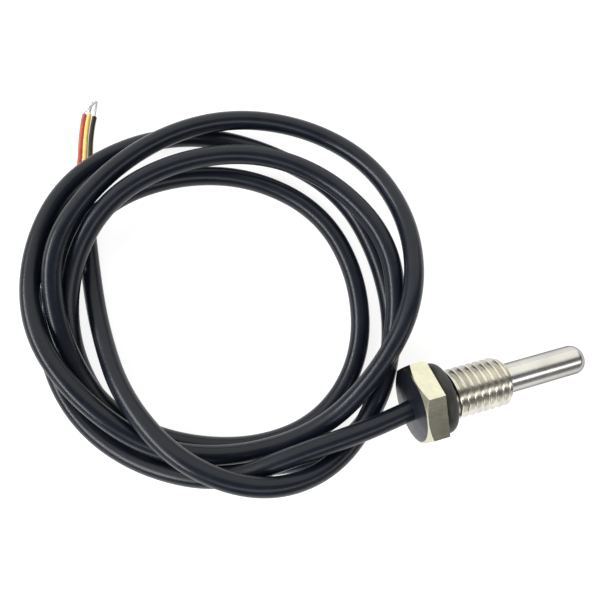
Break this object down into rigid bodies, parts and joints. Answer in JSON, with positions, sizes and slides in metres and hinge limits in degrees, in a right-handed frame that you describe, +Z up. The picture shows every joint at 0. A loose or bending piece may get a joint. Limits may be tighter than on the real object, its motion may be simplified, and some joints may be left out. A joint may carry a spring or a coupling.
{
  "type": "threaded digital temperature sensor probe",
  "caption": "Waterproof temperature probe: stainless hex fitting with metric thread and O-ring, closed polished tube, and a black lead in loose loops with stripped, tinned core ends.",
  "frame": {"origin": "on the floor, under the middle of the head (fitting and probe tube), which lies on its hexagon and its tip", "axes": "+X along the head towards the probe's tip, +Y towards the far side of the lead's loops, +Z up from the floor"},
  "size_m": [0.1083, 0.0923, 0.0176],
  "materials": {
    "stainless_fitting": "turned",
    "stainless_tube": "polished",
    "seal_rubber": "satin",
    "black_filling": "gloss",
    "jacket_black": "semi-gloss",
    "core_red": "satin",
    "core_yellow": "satin",
    "core_black": "satin",
    "tinned_strands": "bright",
    "solder": "bright",
    "shrink_clear": "gloss",
    "tinned_pins": "bright",
    "chip_black": "moulded",
    "shrink_black": "satin",
    "inner_resin": "cast"
  },
  "bodies": {
    "root": {"hex_fitting": "stainless_fitting", "probe_tube": "stainless_tube", "o_ring": "seal_rubber", "rear_cap": "black_filling", "cable_jacket": "jacket_black", "tail_core_red": "core_red", "tail_strands_red": "tinned_strands", "inner_core_red": "core_red", "solder_joint_red": "solder", "joint_sleeve_red": "shrink_clear", "tail_core_yellow": "core_yellow", "tail_strands_yellow": "tinned_strands", "inner_core_yellow": "core_yellow", "solder_joint_yellow": "solder", "joint_sleeve_yellow": "shrink_clear", "tail_core_black": "core_black", "tail_strands_black": "tinned_strands", "inner_core_black": "core_black", "solder_joint_black": "solder", "joint_sleeve_black": "shrink_clear", "chip_lead_supply": "tinned_pins", "chip_lead_data": "tinned_pins", "chip_lead_ground": "tinned_pins", "sensor_chip": "chip_black", "chip_sleeve": "shrink_black", "potting_resin": "inner_resin"}
  },
  "joints": []
}
